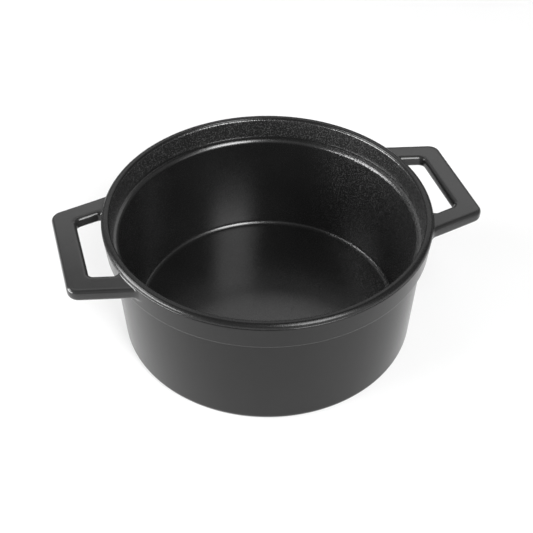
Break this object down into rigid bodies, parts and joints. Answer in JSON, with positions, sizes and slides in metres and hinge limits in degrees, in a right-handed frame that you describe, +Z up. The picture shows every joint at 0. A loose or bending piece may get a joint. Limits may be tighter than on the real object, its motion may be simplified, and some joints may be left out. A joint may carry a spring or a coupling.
{
  "type": "dutch oven",
  "caption": "Round enamelled cast iron dutch oven without its lid: deep straight-sided pot, flared collar with a lid ledge inside, and flat loop handles.",
  "frame": {"origin": "centre of the underside, on the plane that the foot ring rests on", "axes": "+Z up out of the pot's mouth; +X and -X point along the two loop handles"},
  "size_m": [0.316, 0.25, 0.1095],
  "materials": {
    "iron": "sand cast, ground bright on the foot ring",
    "exterior_enamel": "satin black vitreous enamel",
    "interior_enamel": "textured matt black vitreous enamel",
    "rim_enamel": "satin black vitreous enamel, thin over the rim",
    "base_enamel": "matt black ground coat",
    "handle_enamel": "satin black vitreous enamel"
  },
  "bodies": {
    "root": {"iron_pot": "iron", "iron_handle_left": "iron", "iron_handle_right": "iron", "exterior_enamel": "exterior_enamel", "interior_enamel": "interior_enamel", "rim_enamel": "rim_enamel", "base_enamel": "base_enamel", "handle_left_enamel": "handle_enamel", "handle_right_enamel": "handle_enamel"}
  },
  "joints": []
}
